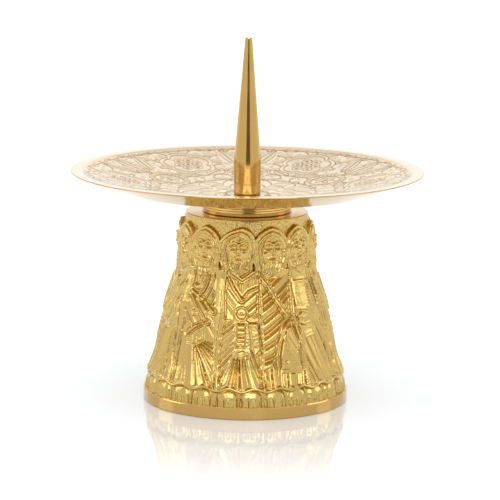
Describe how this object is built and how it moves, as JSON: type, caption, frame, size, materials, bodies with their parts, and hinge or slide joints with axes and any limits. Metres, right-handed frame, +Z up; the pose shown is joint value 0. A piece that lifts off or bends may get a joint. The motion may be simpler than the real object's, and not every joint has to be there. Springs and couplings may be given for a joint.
{
  "type": "pricket candle stand",
  "caption": "Low brass pricket candle stand: hollow conical foot with a cast relief frieze, turned collar, dished ornamented drip pan and a pointed pricket on a threaded stud.",
  "frame": {"origin": "middle of the ring face that the foot rests on", "axes": "+Z up along the turning axis towards the pricket's tip; -Y is the front, where the first figure of the frieze stands"},
  "size_m": [0.12, 0.12, 0.124],
  "materials": {
    "cast_brass": "cast and polished, brown in the recesses",
    "turned_brass": "turned and polished",
    "zinc_plated_steel": "bright zinc plated"
  },
  "bodies": {
    "stand": {"foot_casting": "cast_brass", "neck_collar": "turned_brass", "drip_pan": "turned_brass", "threaded_stud": "zinc_plated_steel"},
    "pricket": {"pricket": "turned_brass"},
    "washers": {"flat_washer": "zinc_plated_steel", "spring_washer": "zinc_plated_steel"},
    "nut": {"hex_nut": "zinc_plated_steel"}
  },
  "joints": [
    {"name": "pricket_unscrew", "type": "slide", "parent": "stand", "child": "pricket", "axis": [0, 0, 1], "range_m": [0, 0.015]},
    {"name": "washer_drop", "type": "slide", "parent": "stand", "child": "washers", "axis": [0, 0, -1], "range_m": [0, 0.008]},
    {"name": "nut_unscrew", "type": "hinge", "parent": "washers", "child": "nut", "pos_m": [0, 0, 0.0523], "axis": [0, 0, -1], "range_deg": [0, 2880]}
  ],
  "couplings": [
    {"joint": "nut_unscrew", "follows": "washer_drop", "rad_per_m": 6283.2}
  ]
}
